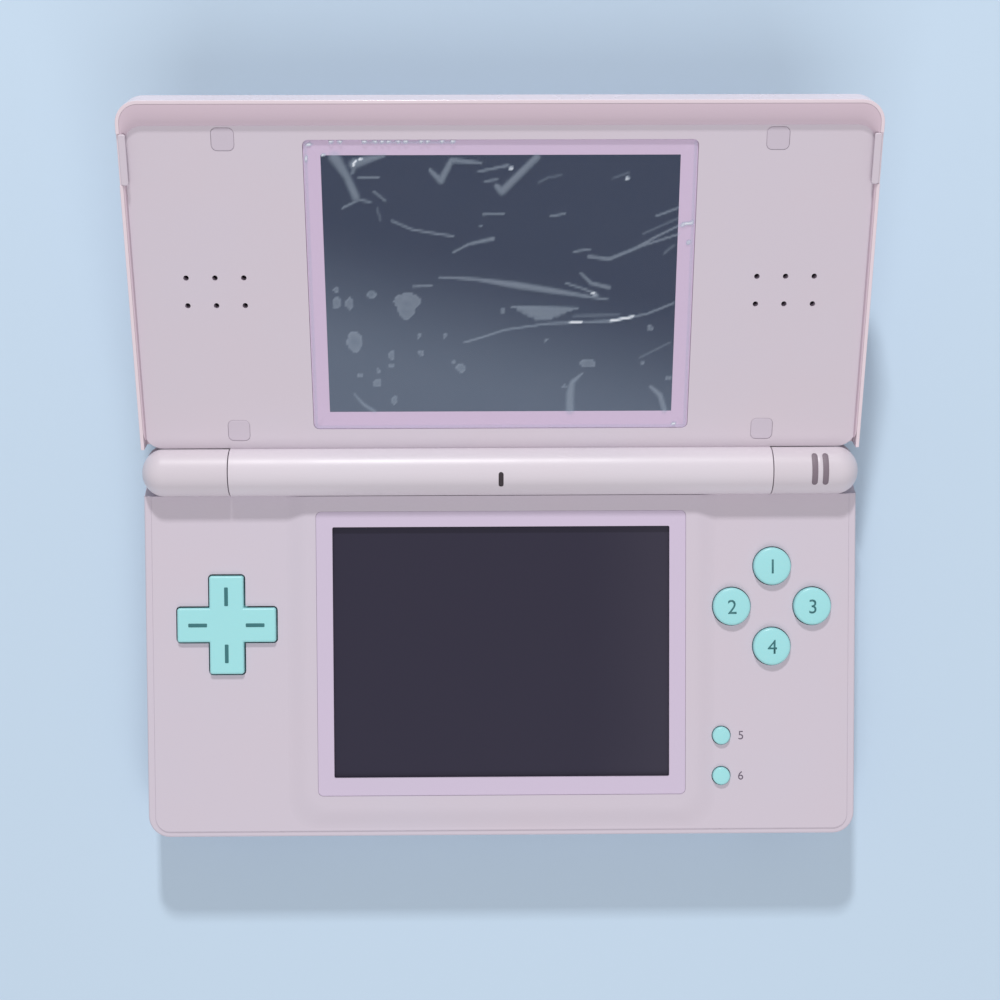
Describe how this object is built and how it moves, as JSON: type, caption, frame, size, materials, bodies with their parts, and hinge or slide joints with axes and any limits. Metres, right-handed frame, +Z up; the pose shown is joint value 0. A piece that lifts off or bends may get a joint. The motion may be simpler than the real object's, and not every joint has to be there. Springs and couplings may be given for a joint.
{
  "type": "clamshell handheld game console",
  "caption": "Folding handheld game console with an upper and a lower screen, barrel hinge, direction pad, round buttons, shoulder buttons, sliders and stylus, open on its feet.",
  "frame": {"origin": "on the surface that it stands on, under the middle of the open object", "axes": "+X to the right of the person playing, +Y from the front edge to the rear, +Z up"},
  "size_m": [0.133, 0.1353, 0.0347],
  "materials": {
    "shell": "satin, very pale pink",
    "lid_shell": "glossy, pale rose",
    "lilac_trim": "satin, lilac",
    "mint_plastic": "satin, mint",
    "dark_glass": "glossy, near black",
    "slate_glass": "glossy, slate grey with a lilac border",
    "clear_film": "clear, wrinkled",
    "display_module": "dark",
    "soft_rubber": "matte, greyish pink",
    "dark_plastic": "matte, near black",
    "indicator": "translucent grey, unlit",
    "steel": "bright",
    "battery": "wrapped cell",
    "circuit_board": "green resist"
  },
  "bodies": {
    "base": {"base_deck": "shell", "base_tub": "shell", "battery_cover": "shell", "battery_cover_screw": "steel", "battery_pack": "battery", "main_board": "circuit_board", "touch_lcd": "display_module", "touch_panel": "dark_glass", "lower_screen_frame": "lilac_trim", "hinge_cap_left": "shell", "hinge_cap_right": "shell", "hinge_pin_left": "steel", "hinge_pin_right": "steel", "face_button_pad": "soft_rubber", "menu_button_pad": "soft_rubber", "card_slot": "dark_plastic", "cartridge_slot": "dark_plastic", "headphone_jack": "dark_plastic", "charge_port": "dark_plastic", "foot_front_left": "soft_rubber", "foot_rear_left": "soft_rubber", "foot_front_right": "soft_rubber", "foot_rear_right": "soft_rubber", "casing_screw_1": "steel", "casing_screw_2": "steel", "casing_screw_3": "steel", "casing_screw_4": "steel", "light_guide_power": "indicator", "light_guide_charge": "indicator", "shoulder_pin_left": "steel", "shoulder_pin_right": "steel"},
    "lid": {"lid_back": "lid_shell", "lid_front": "shell", "upper_lcd": "display_module", "upper_lens": "slate_glass", "screen_film": "clear_film", "speaker_left": "dark_plastic", "speaker_right": "dark_plastic", "bumper_far_left": "soft_rubber", "bumper_near_left": "soft_rubber", "bumper_far_right": "soft_rubber", "bumper_near_right": "soft_rubber", "guide_lug_left": "shell", "guide_lug_right": "shell", "microphone": "dark_plastic"},
    "dpad_pivot": {"dpad_pivot_pad": "soft_rubber"},
    "dpad": {"dpad_cap": "mint_plastic"},
    "top_button": {"button_top": "mint_plastic"},
    "left_button": {"button_left": "mint_plastic"},
    "right_button": {"button_right": "mint_plastic"},
    "bottom_button": {"button_bottom": "mint_plastic"},
    "start": {"start_button": "mint_plastic"},
    "select": {"select_button": "mint_plastic"},
    "left_shoulder": {"shoulder_button_left": "shell"},
    "right_shoulder": {"shoulder_button_right": "shell"},
    "power": {"power_slider": "shell"},
    "volume": {"volume_slider": "shell"},
    "stylus": {"stylus": "shell"},
    "slot_cover": {"slot_cover": "shell"}
  },
  "joints": [
    {"name": "lid_hinge", "type": "hinge", "parent": "base", "child": "lid", "pos_m": [0, 0.00103, 0.0126], "axis": [1, 0, 0], "range_deg": [0, 161.26]},
    {"name": "dpad_left_right", "type": "hinge", "parent": "base", "child": "dpad_pivot", "pos_m": [-0.0513, -0.02747, 0.0088], "axis": [0, 1, 0], "range_deg": [-3, 3], "stiffness_Nm_per_rad": 0.15},
    {"name": "dpad_up_down", "type": "hinge", "parent": "dpad_pivot", "child": "dpad", "pos_m": [-0.0513, -0.02747, 0.0088], "axis": [1, 0, 0], "range_deg": [-3, 3], "stiffness_Nm_per_rad": 0.15},
    {"name": "top_button_press", "type": "slide", "parent": "base", "child": "top_button", "axis": [0, 0, -1], "range_m": [0, 0.0006], "stiffness_N_per_m": 800, "springref_m": -0.0005},
    {"name": "left_button_press", "type": "slide", "parent": "base", "child": "left_button", "axis": [0, 0, -1], "range_m": [0, 0.0006], "stiffness_N_per_m": 800, "springref_m": -0.0005},
    {"name": "right_button_press", "type": "slide", "parent": "base", "child": "right_button", "axis": [0, 0, -1], "range_m": [0, 0.0006], "stiffness_N_per_m": 800, "springref_m": -0.0005},
    {"name": "bottom_button_press", "type": "slide", "parent": "base", "child": "bottom_button", "axis": [0, 0, -1], "range_m": [0, 0.0006], "stiffness_N_per_m": 800, "springref_m": -0.0005},
    {"name": "start_press", "type": "slide", "parent": "base", "child": "start", "axis": [0, 0, -1], "range_m": [0, 0.0005], "stiffness_N_per_m": 800, "springref_m": -0.0005},
    {"name": "select_press", "type": "slide", "parent": "base", "child": "select", "axis": [0, 0, -1], "range_m": [0, 0.0005], "stiffness_N_per_m": 800, "springref_m": -0.0005},
    {"name": "left_shoulder_press", "type": "hinge", "parent": "base", "child": "left_shoulder", "pos_m": [-0.0625, 0.00393, 0.005], "axis": [0, 0, -1], "range_deg": [0, 3.5], "stiffness_Nm_per_rad": 0.2, "springref_deg": -2.86},
    {"name": "right_shoulder_press", "type": "hinge", "parent": "base", "child": "right_shoulder", "pos_m": [0.0625, 0.00393, 0.005], "axis": [0, 0, 1], "range_deg": [0, 3.5], "stiffness_Nm_per_rad": 0.2, "springref_deg": -2.86},
    {"name": "power_slide", "type": "slide", "parent": "base", "child": "power", "axis": [0, 1, 0], "range_m": [0, 0.002], "stiffness_N_per_m": 300, "springref_m": -0.001},
    {"name": "volume_slide", "type": "slide", "parent": "base", "child": "volume", "axis": [1, 0, 0], "range_m": [0, 0.008]},
    {"name": "stylus_pull", "type": "slide", "parent": "base", "child": "stylus", "axis": [1, 0, 0], "range_m": [0, 0.09]},
    {"name": "slot_cover_pull", "type": "slide", "parent": "base", "child": "slot_cover", "axis": [0, -1, 0], "range_m": [0, 0.012]}
  ]
}
